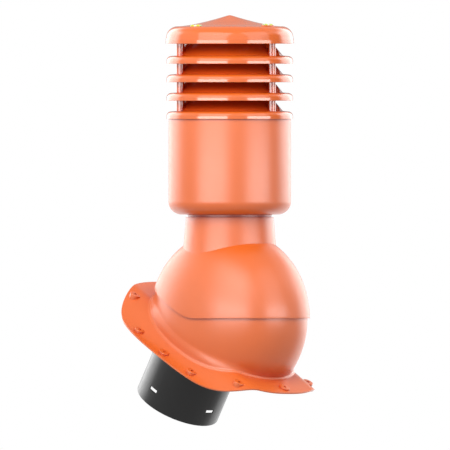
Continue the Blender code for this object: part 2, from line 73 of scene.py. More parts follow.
# Places read from the frame, in metres
JOINT = frame["joints"][0]
AXIS = Vector(JOINT["pos_m"])                    # middle of the dome, on the tilt axis
PITCH = math.atan2(AXIS.x, AXIS.z)               # pitch of the roof
AXIS_HEIGHT = AXIS.length                        # tilt axis above the roof seat
ROOF = Matrix.Rotation(PITCH, 4, "Y")            # from the plane of the roof to the world
STACK = Matrix.Translation(AXIS)                 # from the upright stack to the world
RING_COUNT = 4
RING_BOTTOMS = [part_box(f"louvre_ring_{index + 1}")[0].z - AXIS.z for index in range(RING_COUNT)]
RING_PITCH = RING_BOTTOMS[0] - RING_BOTTOMS[1]
CAP_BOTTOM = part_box("cap")[0].z - AXIS.z
CAP_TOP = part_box("cap")[1].z - AXIS.z
CAP_RADIUS = (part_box("cap")[1].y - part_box("cap")[0].y) / 2
HOOD_RADIUS = (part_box("hood_body")[1].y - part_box("hood_body")[0].y) / 2
RING_RADIUS = (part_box("louvre_ring_1")[1].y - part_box("louvre_ring_1")[0].y) / 2
NECK_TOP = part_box("upper_dome")[1].z - AXIS.z
PIPE_RADIUS = (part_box("duct_pipe")[1].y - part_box("duct_pipe")[0].y) / 2

# Sizes in metres, most of them the same as the solids'
FIT = 0.0003
WALL = 0.003
SHEET = 0.0025
FLANGE_LENGTH = 0.3767
FLANGE_WIDTH = 0.285
FLANGE_OFFSET = 0.0058
FLANGE_SQUARENESS = 2.64
FLANGE_TAPER = 0.062
WAVE_DEPTH = 0.0372
CREST_WIDTH = 0.1307
TROUGH_WIDTH = 0.2706
BOSS_RADIUS = 0.0095
BOSS_HEIGHT = 0.003
BOSS_ALONG = (-0.148, -0.074, 0.0, 0.070, 0.150)
BOSS_INSET = 0.0162
BOSS_HOLE_RADIUS = 0.00275
DOME_RADIUS = 0.1536
DOME_HALF_WIDTH = 0.1122
DOME_SQUARENESS = 2.28
DOME_WALL = 0.0032
SHELL_GAP = 0.0008
LOWER_SHRINK = SHELL_GAP + DOME_WALL  # from the outside of the upper shell to the lower shell
FOOT_INSET = 0.0034
FOOT_SQUARENESS = 2.68
SKIRT_SHOULDER = 0.046
SKIRT_HEIGHT = 0.034
SKIRT_SLOPE = 0.007
SKIRT_BLEND = 0.003
SKIRT_EASE = 0.3           # growth of the blend for each metre below its start
SKIRT_EASE_START = 0.034   # depth under the tilt axis at which the blend starts to grow
THROAT_LOW = 0.030         # height of the opening over the tilt axis at its sides
THROAT_DOWNHILL = 0.072    # rise of its edge on the downhill side
THROAT_UPHILL = 0.0225     # rise of its edge on the uphill side
SEAM_RISE = math.radians(24.5)
SEAM_CORNER = 0.005
SEAM_ROUND = 0.088
SPIGOT_RADIUS = 0.0733
SPIGOT_DEPTH = 0.030
NECK_RADIUS = SPIGOT_RADIUS + FIT + DOME_WALL
NECK_FLARE = 0.085
NECK_FOOT = 0.060          # height over the tilt axis where the neck ends inside the dome
HOOD_GAP = 0.0043
HOOD_BOTTOM = NECK_TOP + HOOD_GAP
HOOD_CORNER = 0.023
RIM_HEIGHT = 0.0052
RIM_CORNER = 0.0085
SHOULDER_HEIGHT = RIM_HEIGHT + RIM_CORNER
SHOULDER_RADIUS = 0.0928
SHOULDER_RISE = 0.0008
RIM_BAND = 0.0004          # upright band under the round of a ring's rim
RIM_FOOT = 0.0011          # height of the rim's foot
CONE_ANGLE = math.radians(50)
CORE_RADIUS = 0.0738
POST_COUNT = 3
FIRST_POST_TURN = 7.1      # degrees
POST_TURNS = [math.radians(FIRST_POST_TURN + 360 / POST_COUNT * index) for index in range(POST_COUNT)]
POST_RING = 0.0928
POST_RADIUS = 0.0071
POST_PLACES = [(POST_RING * math.cos(turn), POST_RING * math.sin(turn), 0.0) for turn in POST_TURNS]
POST_SUNK = 0.001          # depth of a post's foot in the shoulder of its ring
POST_TOP = RING_PITCH + SHOULDER_HEIGHT - WALL - FIT
WEB_THICKNESS = 0.0025
WEB_INSIDE = 0.003
UNDER_REACH = 0.008        # how far the space under a ring's cone is cut past the crease
UNDER_INSET = 0.0006       # how far inside the cone's corners that cut stays
CAP_SKIRT = 0.0105
CAP_CORNER = 0.02
CAP_DRAFT = 0.001
CAP_BAND = 0.0066          # height of the upright band at the foot of the cap
CAP_CONE_RADIUS = 0.089
CAP_CONE_CURVE = 1.42
CAP_BLUNT = 0.0025         # radius of the blunt tip
CAP_ROUND_END = 4          # angle in degrees at which the round shoulder meets the skirt
CAP_FOOT_SLANT = 0.0006    # slant of the skirt's inner side at its foot
CAP_POST_SUNK = 0.0005     # depth of the posts' ends under the shoulder's top
LEVELS = ((math.radians(3.4), 0.0322), (math.radians(-86.6), 0.0306))
LEVEL_RING = 0.0885
LEVEL_LENGTH = 0.024
BUBBLE_LENGTH = 0.006
LEVEL_RADIUS = 0.0026
SEAT_MARGIN = 0.0018
SEAT_DEPTH = 0.0055
SEAT_CORNER = 0.0014
PIPE_WALL = 0.0025
PIPE_OFFSET = -0.0335
PIPE_BELOW_AXIS = 0.1943
PIPE_ABOVE_CREST = 0.020
COLLAR_WALL = 0.003
COLLAR_BELOW_CREST = 0.025
SLOT_WIDTH = 0.018
SLOT_HEIGHT = 0.006
SLOT_ABOVE_END = 0.029
SLOT_COUNT = 4
CAP_PLACE = STACK @ Matrix.Translation((0, 0, CAP_BOTTOM))
MILLIMETRES = 1000         # in a metre

# Finer shapes and the reach of cuts, in metres
FOOT_STEP = 0.002          # from the top of the foot's bead to the first row of the lower shell
FLOOR_INSET = 0.0012       # from the wall of the lower shell in to the edge of the dome's floor
EDGE_STEP = 0.001          # step along the flange that gives the slope of its edge
HOLE_DEPTH = 0.05          # reach of the cut for a screw hole below the sheet
SLOT_REACH = 0.004         # reach of the cut for a slot past both sides of the pipe's wall
BORE_RISE = 0.01           # reach of the neck's bore above its top
BORE_DROP = 0.001          # reach of the neck's bore below its foot
SHEET_EDGE = 0.0008        # roundings, from here to the end of this list
DOME_EDGE = 0.0006
NECK_EDGE = 0.0009
ROD_EDGE = 0.0009
PIPE_TOP_EDGE = 0.0005
PIPE_END_EDGE = 0.0007
LIP_ROUND = 0.0008
CREASE_ROUND = 0.003
CREASE_INNER_ROUND = 0.0012
RIM_ROUND = 0.0007
HOOD_EDGE = 0.0006
SPIGOT_EDGE = 0.0008
SPIGOT_CORNER = 0.001

# Fineness of the meshes
TURN_STEPS = 160           # sides of a turned piece
AROUND = 288               # points of each row of the flange, the lower shell and the dome's floor
ROD_STEPS = 48             # sides of a post, a boss and a level
GROOVE_STEPS = 32          # sides of the groove under a level
HOLE_STEPS = 24            # sides of a screw hole
ROUND_STEPS = 3            # steps for each radian of a round of 1 mm
EDGE_SEGMENTS = 3          # segments of the rounded edge of a wall or a block
ROD_EDGE_SEGMENTS = 4
FLANGE_ROWS = 15
SHELL_ROWS = 44
FLOOR_ROWS = 7
DOME_COLUMNS = 84          # points of the upper shell along the tilt axis
DOME_ROWS = 120            # rows of the upper shell round the tilt axis
CONE_POINTS = 40           # points of the cap's outline on its cone
CONE_CROWDING = 1.5        # crowding of these points towards the tip
CAP_ROUND_POINTS = 22      # points of the cap's outline on its round shoulder
EDGE_POINTS = 1440         # points of the flange's edge
DOME_HALVINGS = 40         # halvings that find a point of the dome
SEAM_HALVINGS = 50         # halvings that find a point of the seam
SEAM_SEARCH = 0.6          # share of half a turn, down from the top, that is searched for the seam
SEAM_MARGIN = 1.02         # smallest circle of the upper shell, as a share of the seam's height there
FOOT_ROUNDS = 12           # rounds that settle the foot on the wave
ON_AXIS = 1e-7             # radius under which a point is on the axis
SMOOTH_ANGLE = math.radians(32)   # sharper edges are shaded as edges
ROUND_ANGLE = math.radians(60)    # sharper edges of a wall are rounded


# Mesh helpers

def new_piece(name, vertices, faces, place=Matrix.Identity(4)):
    """An object of the scene from vertices and faces that all face the same way, moved to its place."""
    mesh = bpy.data.meshes.new(name)
    mesh.from_pydata([tuple(map(float, v)) for v in vertices], [], faces)
    mesh.validate()
    bm = bmesh.new()
    bm.from_mesh(mesh)
    bmesh.ops.recalc_face_normals(bm, faces=bm.faces)
    bm.transform(place)
    bm.to_mesh(mesh)
    bm.free()
    obj = bpy.data.objects.new(name, mesh)
    bpy.context.scene.collection.objects.link(obj)
    return obj


def grid(rows, around=True):
    """Faces between rows of equally many points, with the rows closed into rings if around."""
    height, width = rows.shape[0], rows.shape[1]
    columns = width if around else width - 1
    faces = []
    for row in range(height - 1):
        for column in range(columns):
            right = (column + 1) % width
            faces.append((row * width + column, row * width + right,
                          (row + 1) * width + right, (row + 1) * width + column))
    return rows.reshape(-1, 3), faces


def turned(name, section, place):
    """A closed section of (radius, height) turned about Z. Points on the axis become one."""
    angles = 2 * math.pi * np.arange(TURN_STEPS) / TURN_STEPS
    vertices = []
    rings = []
    for radius, height in section:
        if radius < ON_AXIS:
            rings.append([len(vertices)] * TURN_STEPS)
            vertices.append((0.0, 0.0, height))
        else:
            rings.append(list(range(len(vertices), len(vertices) + TURN_STEPS)))
            vertices += [(radius * math.cos(a), radius * math.sin(a), height) for a in angles]
    faces = []
    for ring, after in zip(rings, rings[1:] + rings[:1]):
        if ring[0] == ring[1] and after[0] == after[1]:
            continue
        for step in range(TURN_STEPS):
            right = (step + 1) % TURN_STEPS
            corners = [ring[step], ring[right], after[right], after[step]]
            faces.append(tuple(dict.fromkeys(corners)))
    return new_piece(name, vertices, faces, place)


def rounded(corners):
    """A closed outline from corners of (x, y, radius), each corner rounded by its radius."""
    points = []
    count = len(corners)
    for index, (x, y, radius) in enumerate(corners):
        here = np.array((x, y))
        if radius == 0:
            points.append(tuple(here))
            continue
        before = np.array(corners[index - 1][:2]) - here
        after = np.array(corners[(index + 1) % count][:2]) - here
        before /= np.linalg.norm(before)
        after /= np.linalg.norm(after)
        half = math.acos(max(-1.0, min(1.0, float(before @ after)))) / 2
        reach = radius / math.tan(half)
        bisector = (before + after) / np.linalg.norm(before + after)
        centre = here + bisector * radius / math.sin(half)
        start = here + before * reach - centre
        sweep = math.pi - 2 * half
        turn = -math.copysign(1.0, before[0] * after[1] - before[1] * after[0])
        steps = max(2, int(sweep * math.sqrt(radius * MILLIMETRES) * ROUND_STEPS) + 1)
        for step in range(steps + 1):
            angle = turn * sweep * step / steps
            cosine, sine = math.cos(angle), math.sin(angle)
            points.append((centre[0] + start[0] * cosine - start[1] * sine,
                           centre[1] + start[0] * sine + start[1] * cosine))
    return points


def inset(profile, distance):
    """The profile moved to the right of its direction by a distance."""
    points = [np.array(point) for point in profile]
    normals = []
    for start, end in zip(points, points[1:]):
        along = (end - start) / np.linalg.norm(end - start)
        normals.append(np.array((along[1], -along[0])))
    moved = []
    for index, point in enumerate(points):
        before = normals[max(index - 1, 0)]
        after = normals[min(index, len(normals) - 1)]
        moved.append(tuple(point + (before + after) / (1.0 + float(before @ after)) * distance))
    return moved


def linked(name, bm, place):
    """An object of the scene from a mesh in the making, moved to its place."""
    bm.transform(place)
    mesh = bpy.data.meshes.new(name)
    bm.to_mesh(mesh)
    bm.free()
    obj = bpy.data.objects.new(name, mesh)
    bpy.context.scene.collection.objects.link(obj)
    return obj


def rods(name, places, radius, low, high, place, steps=ROD_STEPS, edge=0.0):
    """Upright rods in one mesh, at places of (x, y, base height). Their ends are rounded by edge."""
    bm = bmesh.new()
    for x, y, base in places:
        middle = Matrix.Translation((x, y, base + (low + high) / 2))
        bmesh.ops.create_cone(bm, cap_ends=True, segments=steps, radius1=radius, radius2=radius,
                              depth=high - low, matrix=middle)
    if edge:
        rims = [e for e in bm.edges if any(len(f.verts) > 4 for f in e.link_faces)]
        bmesh.ops.bevel(bm, geom=rims, offset=edge, segments=ROD_EDGE_SEGMENTS, profile=0.5,
                        affect="EDGES")
    return linked(name, bm, place)


def block(name, low, high, place, edge=0.0):
    """A block between two corners. Its edges are rounded by edge."""
    bm = bmesh.new()
    size = [b - a for a, b in zip(low, high)]
    middle = [(a + b) / 2 for a, b in zip(low, high)]
    bmesh.ops.create_cube(bm, size=1.0, matrix=Matrix.LocRotScale(middle, None, size))
    if edge:
        bmesh.ops.bevel(bm, geom=bm.edges[:], offset=edge, segments=EDGE_SEGMENTS, profile=0.5,
                        affect="EDGES")
    return linked(name, bm, place)


def apply_modifiers(obj):
    """Makes the mesh that the modifiers give the object's own."""
    bpy.context.view_layer.update()
    evaluated = obj.evaluated_get(bpy.context.evaluated_depsgraph_get())
    mesh = bpy.data.meshes.new_from_object(evaluated)
    obj.modifiers.clear()
    obj.data = mesh
    return obj


def combine(obj, tool, operation):
    """Joins or cuts obj with a tool, which is then removed."""
    boolean = obj.modifiers.new(operation.title(), "BOOLEAN")
    boolean.object = tool
    boolean.operation = operation
    boolean.solver = "EXACT"
    apply_modifiers(obj)
    bpy.data.objects.remove(tool, do_unlink=True)
    return obj


def thicken(obj, thickness, edge):
    """Gives an open surface a wall on its inner side and rounds the wall's edges."""
    solid = obj.modifiers.new("Wall", "SOLIDIFY")
    solid.thickness = thickness
    solid.offset = -1.0
    solid.use_even_offset = True
    apply_modifiers(obj)
    bevel = obj.modifiers.new("Edge", "BEVEL")
    bevel.width = edge
    bevel.segments = EDGE_SEGMENTS
    bevel.limit_method = "ANGLE"
    bevel.angle_limit = ROUND_ANGLE
    return apply_modifiers(obj)


def dress(obj, mat, body, nodes):
    """Smooths a finished piece, gives it its material and lets it stand for CAD nodes."""
    obj.data.materials.clear()
    obj.data.materials.append(mat)
    obj.data.shade_smooth()
    obj.data.set_sharp_from_angle(angle=SMOOTH_ANGLE)
    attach(obj, body)
    if nodes:
        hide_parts(*nodes)
    return obj


# Shapes of the roof base, in the plane of the roof

def eased(share):
    """A share from 0 to 1 with a soft start and end."""
    return share * share * (3.0 - 2.0 * share)


def wave_height(across):
    """Height of the sheet's top on the roof, at a distance across the wave."""
    flat = CREST_WIDTH / 2
    share = np.clip((np.abs(across) - flat) / (TROUGH_WIDTH / 2 - flat), 0.0, 1.0)
    return SHEET + WAVE_DEPTH * (1.0 - eased(share))


def flange_half_width(along):
    """Half the flange's width at a distance along the roof from the flange's middle."""
    share = np.minimum(np.abs(along) / (FLANGE_LENGTH / 2), 1.0)
    swell = (1.0 - share ** FLANGE_SQUARENESS) ** (1.0 / FLANGE_SQUARENESS)
    return FLANGE_WIDTH / 2 * swell * (1.0 - FLANGE_TAPER * along / (FLANGE_LENGTH / 2))


def flange_edge(angles):
    """Distance of the flange's edge from the dome's middle, for directions in the roof plane."""
    turn = 2 * math.pi * np.arange(EDGE_POINTS) / EDGE_POINTS
    cosine = np.cos(turn)
    along = np.sign(cosine) * np.abs(cosine) ** (2 / FLANGE_SQUARENESS) * FLANGE_LENGTH / 2
    across = np.sign(np.sin(turn)) * flange_half_width(along)
    x, y = along + FLANGE_OFFSET, across
    directions = np.mod(np.arctan2(y, x), 2 * math.pi)
    order = np.argsort(directions)
    return np.interp(np.mod(angles, 2 * math.pi), directions[order], np.hypot(x, y)[order],
                     period=2 * math.pi)


def dome_distance(angles, heights):
    """Distance of the turned part of the lower shell from the roof's normal through its middle."""
    radius, half_width = DOME_RADIUS - LOWER_SHRINK, DOME_HALF_WIDTH - LOWER_SHRINK
    low = np.zeros_like(heights)
    high = np.full_like(heights, radius)
    for _ in range(DOME_HALVINGS):
        middle = (low + high) / 2
        out = np.hypot(middle * np.cos(angles), heights) / radius
        along = np.abs(middle * np.sin(angles)) / half_width
        inside = out ** DOME_SQUARENESS + along ** DOME_SQUARENESS < 1.0
        low = np.where(inside, middle, low)
        high = np.where(inside, high, middle)
    return (low + high) / 2


def skirt_distance(angles, heights):
    """Distance of the straight walls under the dome, which slope in below the tilt axis."""
    share = np.clip((heights + SKIRT_SHOULDER) / SKIRT_HEIGHT, 0.0, 1.0)
    inward = LOWER_SHRINK + FOOT_INSET + SKIRT_SLOPE * eased(share)
    length = np.abs(np.cos(angles)) / (DOME_RADIUS - inward)
    width = np.abs(np.sin(angles)) / (DOME_HALF_WIDTH - inward)
    wall = (length ** FOOT_SQUARENESS + width ** FOOT_SQUARENESS) ** (-1.0 / FOOT_SQUARENESS)
    return np.where(share < 1.0, wall, 0.0)


def shell_distance(angles, heights):
    """Distance of the lower shell's wall, with the straight walls blended into the dome."""
    dome, skirt = dome_distance(angles, heights), skirt_distance(angles, heights)
    reach = SKIRT_BLEND + SKIRT_EASE * np.maximum(-heights - SKIRT_EASE_START, 0.0)
    blend = np.maximum(reach - np.abs(dome - skirt), 0.0) ** 2 / (4 * reach)
    return np.maximum(dome, skirt) + blend


# Section of the bead round the foot of the lower shell: distance from the wall, height on the sheet
FOOT_SECTION = [(0.0050, 0.0), (0.0034, 0.0), (0.0026, 0.0001), (0.0021, 0.0005), (0.0018, 0.0010),
                (0.0014, 0.0014), (0.0009, 0.0016), (0.0005, 0.0018), (0.0002, 0.0023), (0.0, 0.0031)]


def foot_ring(angles, distance, height):
    """One row of the bead: points a distance outside the lower shell and a height over the sheet."""
    out = np.full_like(angles, DOME_HALF_WIDTH)
    for _ in range(FOOT_ROUNDS):
        level = wave_height(out * np.sin(angles)) + height
        out = shell_distance(angles, level - AXIS_HEIGHT) + distance
    level = wave_height(out * np.sin(angles)) + height
    return np.stack([out * np.cos(angles), out * np.sin(angles), level], axis=1)


def boss_places():
    """Middles of the screw bosses on the sheet: pairs along both sides, then one at each end."""
    places = []
    for station in BOSS_ALONG:
        along = station - FLANGE_OFFSET
        width = float(flange_half_width(along))
        slope = (float(flange_half_width(along + EDGE_STEP)) - width) / EDGE_STEP
        across = width - BOSS_INSET * math.hypot(1.0, slope)
        places += [(station, across), (station, -across)]
    for end in (-1, 1):
        places.append((FLANGE_OFFSET + end * (FLANGE_LENGTH / 2 - BOSS_INSET), 0.0))
    return [(x, y, float(wave_height(y))) for x, y in places]


def roof_moulding(mat):
    """Flange, foot bead and lower shell as one wall, with the screw bosses on it."""
    angles = 2 * math.pi * np.arange(AROUND) / AROUND
    edge = flange_edge(angles)
    foot = [foot_ring(angles, distance, height) for distance, height in FOOT_SECTION]
    inner = np.hypot(foot[0][:, 0], foot[0][:, 1])
    rows = []
    for share in np.linspace(0.0, 1.0, FLANGE_ROWS)[:-1]:
        out = edge + (inner - edge) * share
        rows.append(np.stack([out * np.cos(angles), out * np.sin(angles),
                              wave_height(out * np.sin(angles))], axis=1))
    rows += foot
    start = foot[-1][:, 2] + FOOT_STEP - AXIS_HEIGHT
    cosine = np.cos(angles)
    top = THROAT_LOW + np.where(cosine > 0, THROAT_DOWNHILL, THROAT_UPHILL) * cosine ** 2
    for share in np.linspace(0.0, 1.0, SHELL_ROWS):
        level = start + (top - start) * share
        out = shell_distance(angles, level)
        rows.append(np.stack([out * cosine, out * np.sin(angles), level + AXIS_HEIGHT], axis=1))
    vertices, faces = grid(np.array(rows))
    moulding = new_piece("roof_flange_moulding", vertices, faces, ROOF)
    first = moulding.data.polygons[0].normal
    if first.dot(ROOF.to_3x3() @ Vector((0, 0, 1))) < 0:
        moulding.data.flip_normals()
    thicken(moulding, SHEET, SHEET_EDGE)
    places = boss_places()
    for x, y, level in places:
        drop = level - min(float(wave_height(abs(y) + BOSS_RADIUS)), level)
        low = -drop - SHEET / 3
        boss = rods("boss", [(x, y, level)], BOSS_RADIUS, low, BOSS_HEIGHT, ROOF, edge=ROD_EDGE)
        combine(moulding, boss, "UNION")
    holes = rods("boss_holes", places, BOSS_HOLE_RADIUS, -HOLE_DEPTH, BOSS_HEIGHT + SHEET, ROOF,
                 steps=HOLE_STEPS)
    combine(moulding, holes, "DIFFERENCE")
    return dress(moulding, mat, "roof_base", ["roof_flange"])


def dome_floor(mat):
    """Floor of the dome with the collar round the pipe, behind the foot of the lower shell."""
    angles = 2 * math.pi * np.arange(AROUND) / AROUND
    foot = foot_ring(angles, -FLOOR_INSET, 0.0)
    crest = float(wave_height(0.0))
    outside, inside = PIPE_RADIUS + FIT + COLLAR_WALL, PIPE_RADIUS + FIT
    rows = []

    def spread(share, lift):
        """A row between the foot of the lower shell and the collar, on the wave."""
        x = foot[:, 0] + (PIPE_OFFSET + outside * np.cos(angles) - foot[:, 0]) * share
        y = foot[:, 1] + (outside * np.sin(angles) - foot[:, 1]) * share
        rows.append(np.stack([x, y, wave_height(y) + lift], axis=1))

    def tube(radius, level):
        """A row round the pipe."""
        rows.append(np.stack([PIPE_OFFSET + radius * np.cos(angles), radius * np.sin(angles),
                              np.full_like(angles, level)], axis=1))

    for share in np.linspace(0.0, 1.0, FLOOR_ROWS):
        spread(share, 0.0)
    tube(outside, crest + PIPE_ABOVE_CREST)
    tube(inside, crest + PIPE_ABOVE_CREST)
    tube(inside, crest - COLLAR_BELOW_CREST)
    tube(outside, crest - COLLAR_BELOW_CREST)
    for share in np.linspace(1.0, 0.0, FLOOR_ROWS):
        spread(share, -SHEET)
    vertices, faces = grid(np.array(rows))
    last = (len(rows) - 1) * AROUND
    faces += [(last + step, last + (step + 1) % AROUND, (step + 1) % AROUND, step)
              for step in range(AROUND)]
    floor = new_piece("dome_floor", vertices, faces, ROOF)
    return dress(floor, mat, "roof_base", [])


def duct_pipe(mat):
    """The open pipe below the roof, with slots through its wall near the end."""
    top = float(wave_height(0.0)) + PIPE_ABOVE_CREST
    bottom = AXIS_HEIGHT - PIPE_BELOW_AXIS
    inside = PIPE_RADIUS - PIPE_WALL
    section = rounded([(PIPE_RADIUS, top, PIPE_TOP_EDGE), (PIPE_RADIUS, bottom, PIPE_END_EDGE),
                       (inside, bottom, PIPE_END_EDGE), (inside, top, PIPE_TOP_EDGE)])
    place = ROOF @ Matrix.Translation((PIPE_OFFSET, 0.0, 0.0))
    pipe = turned("duct_pipe_tube", section, place)
    middle = bottom + SLOT_ABOVE_END
    for index in range(SLOT_COUNT):
        turn = Matrix.Rotation(index * 2 * math.pi / SLOT_COUNT, 4, "Z")
        slot = block("slot", (inside - SLOT_REACH, -SLOT_WIDTH / 2, middle - SLOT_HEIGHT / 2),
                     (PIPE_RADIUS + SLOT_REACH, SLOT_WIDTH / 2, middle + SLOT_HEIGHT / 2), place @ turn)
        combine(pipe, slot, "DIFFERENCE")
    return dress(pipe, mat, "roof_base", ["duct_pipe"])


# Shapes of the stack, upright from the tilt axis

def seam_height(x):
    """Height of the upper shell's lower edge over the tilt axis."""
    start = SEAM_CORNER + SEAM_ROUND * math.tan(SEAM_RISE / 2)
    end = start - SEAM_ROUND * math.sin(SEAM_RISE)
    end_height = SEAM_ROUND * (1 - math.cos(SEAM_RISE))
    bend = SEAM_ROUND - np.sqrt(np.maximum(SEAM_ROUND ** 2 - (x - start) ** 2, 0.0))
    line = end_height + (end - x) * math.tan(SEAM_RISE)
    return np.where(x > start, 0.0, np.where(x > end, bend, line))


def seam_angle(radii, side):
    """Angle round the tilt axis, from +X, where each circle meets the seam in front or behind."""
    above = np.full_like(radii, math.pi / 2)
    below = np.full_like(radii, math.pi / 2 - side * math.pi * SEAM_SEARCH)
    for _ in range(SEAM_HALVINGS):
        middle = (above + below) / 2
        clear = radii * np.sin(middle) > seam_height(radii * np.cos(middle))
        above = np.where(clear, middle, above)
        below = np.where(clear, below, middle)
    return (above + below) / 2


def upper_shell(mat):
    """Upper shell of the dome, cut to its seam, with the neck."""
    lowest = float(seam_height(0.0)) * SEAM_MARGIN
    start = math.asin(min(1.0, (lowest / DOME_RADIUS) ** (DOME_SQUARENESS / 2)))
    turns = np.linspace(start, math.pi - start, DOME_COLUMNS)
    radii = DOME_RADIUS * np.sin(turns) ** (2 / DOME_SQUARENESS)
    along = DOME_HALF_WIDTH * np.sign(np.cos(turns)) * np.abs(np.cos(turns)) ** (2 / DOME_SQUARENESS)
    front = seam_angle(radii, 1)
    back = seam_angle(radii, -1)
    rows = []
    for share in np.linspace(0.0, 1.0, DOME_ROWS):
        angle = front + (back - front) * share
        rows.append(np.stack([radii * np.cos(angle), -along, radii * np.sin(angle)], axis=1))
    vertices, faces = grid(np.array(rows), around=False)
    shell = new_piece("upper_dome_shell", vertices, faces, STACK)
    outward = sum((f.center - AXIS).normalized().dot(f.normal) for f in shell.data.polygons)
    if outward < 0:
        shell.data.flip_normals()
    thicken(shell, DOME_WALL, DOME_EDGE)
    foot = NECK_RADIUS + NECK_FLARE * (NECK_TOP - NECK_FOOT)
    neck = turned("neck", rounded([(NECK_RADIUS, NECK_TOP, NECK_EDGE), (foot, NECK_FOOT, 0),
                                   (0, NECK_FOOT, 0), (0, NECK_TOP, 0)]), STACK)
    combine(shell, neck, "UNION")
    bore = SPIGOT_RADIUS + FIT
    high, low = NECK_TOP + BORE_RISE, NECK_FOOT - BORE_DROP
    way = turned("neck_bore", [(bore, high), (bore, NECK_TOP - SPIGOT_DEPTH - FIT),
                               (foot - DOME_WALL, low), (0, low), (0, high)], STACK)
    combine(shell, way, "DIFFERENCE")
    return dress(shell, mat, "stack", ["upper_dome"])


def ring_corners():
    """Corners of a louvre ring's section with their roundings."""
    shoulder = SHOULDER_HEIGHT + SHOULDER_RISE
    slope = SHOULDER_RISE / (RING_RADIUS - RIM_CORNER - SHOULDER_RADIUS)
    rim_top = shoulder - slope * (RING_RADIUS - SHOULDER_RADIUS)
    lip = shoulder + (SHOULDER_RADIUS - CORE_RADIUS) * math.tan(CONE_ANGLE)
    outer = [(CORE_RADIUS, lip), (SHOULDER_RADIUS, shoulder), (RING_RADIUS, rim_top),
             (RING_RADIUS, RIM_HEIGHT - RIM_BAND), (RING_RADIUS, RIM_FOOT), (RING_RADIUS, 0.0)]
    inner = inset(outer, WALL)
    inner[0] = (CORE_RADIUS, inner[0][1] - (CORE_RADIUS - inner[0][0]) * math.tan(CONE_ANGLE))
    rounds = [LIP_ROUND, CREASE_ROUND, RIM_CORNER, 0, 0, RIM_ROUND]
    insides = [LIP_ROUND, CREASE_INNER_ROUND, RIM_CORNER - WALL, 0, 0, RIM_ROUND]
    return ([(*point, edge) for point, edge in zip(outer, rounds)]
            + [(*point, edge) for point, edge in zip(inner[::-1], insides[::-1])])


def louvre_rings(mat):
    """The louvre rings, highest first, each with its posts and webs, which stay out of its hollow."""
    corners = ring_corners()
    section = rounded(corners)
    lip, crease = corners[0], corners[1]
    inside, outside = lip[0] - UNDER_INSET, crease[0] + UNDER_REACH
    under = [(0, lip[1] - WALL / 2), (inside, lip[1] - WALL / 2),
             (crease[0] - UNDER_INSET, crease[1] - WALL / 2), (outside, crease[1] - WALL / 2),
             (outside, 0.0), (0, 0.0)]
    for index, height in enumerate(RING_BOTTOMS):
        place = STACK @ Matrix.Translation((0, 0, height))
        ring = turned(f"louvre_ring_shade_{index + 1}", section, place)
        posts = rods("posts", POST_PLACES, POST_RADIUS, SHOULDER_HEIGHT - POST_SUNK, POST_TOP, place)
        for turn in POST_TURNS:
            web = block("web", (CORE_RADIUS + WEB_INSIDE, -WEB_THICKNESS / 2, SHOULDER_HEIGHT),
                        (POST_RING, WEB_THICKNESS / 2, POST_TOP - FIT),
                        place @ Matrix.Rotation(turn, 4, "Z"))
            combine(posts, web, "UNION")
        combine(posts, turned("under", under, place), "DIFFERENCE")
        combine(ring, posts, "UNION")
        dress(ring, mat, "stack", [f"louvre_ring_{index + 1}"])


def hood(mat):
    """The round hood, open at the top, with its flat bottom and the tube that plugs into the neck."""
    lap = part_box("hood_body")[1].z - AXIS.z
    inside = HOOD_RADIUS - WALL
    end = NECK_TOP - SPIGOT_DEPTH
    way, bottom = SPIGOT_RADIUS - WALL, HOOD_BOTTOM + WALL
    corners = [(HOOD_RADIUS, lap, HOOD_EDGE), (HOOD_RADIUS, HOOD_BOTTOM, HOOD_CORNER),
               (SPIGOT_RADIUS, HOOD_BOTTOM, SPIGOT_EDGE), (SPIGOT_RADIUS, end, SPIGOT_EDGE),
               (way, end, SPIGOT_EDGE), (way, bottom, SPIGOT_CORNER),
               (inside, bottom, HOOD_CORNER - WALL), (inside, lap, HOOD_EDGE)]
    body = turned("hood_shell", rounded(corners), STACK)
    return dress(body, mat, "stack", ["hood_body"])


# Foot of the cap's skirt: distance inside its radius, height
CAP_FOOT = [(0.0, CAP_BAND), (0.0, CAP_BAND - 0.0004), (0.0, 0.0010), (0.0, 0.0007),
            (0.0003, 0.0001), (0.0010, 0.0)]
CAP_FOOT_ROUND = 2         # how many of its points only round the edge


def cap_outline():
    """Outer side of the cap: a hollow-sided cone with a blunt tip, a round shoulder and a skirt."""
    top = CAP_SKIRT + CAP_CORNER
    rise = CAP_TOP - CAP_BOTTOM - top
    spread = math.hypot(CAP_CONE_RADIUS, CAP_BLUNT) - CAP_BLUNT
    points = []
    for share in np.linspace(0.0, 1.0, CONE_POINTS) ** CONE_CROWDING:
        radius = CAP_CONE_RADIUS * share
        softened = (math.hypot(radius, CAP_BLUNT) - CAP_BLUNT) / spread
        points.append((radius, top + rise * (1 - softened) ** CAP_CONE_CURVE))
    middle = CAP_RADIUS - CAP_DRAFT - CAP_CORNER
    for angle in np.radians(np.linspace(90, CAP_ROUND_END, CAP_ROUND_POINTS)):
        points.append((middle + CAP_CORNER * math.cos(angle), CAP_SKIRT + CAP_CORNER * math.sin(angle)))
    return points + [(CAP_RADIUS - inside, height) for inside, height in CAP_FOOT]


def lying_level(turn, height):
    """Place of a spirit level in the cap: its middle, with Z along it."""
    return (CAP_PLACE @ Matrix.Rotation(turn, 4, "Z") @ Matrix.Translation((LEVEL_RING, 0, height))
            @ Matrix.Rotation(math.pi / 2, 4, "X"))


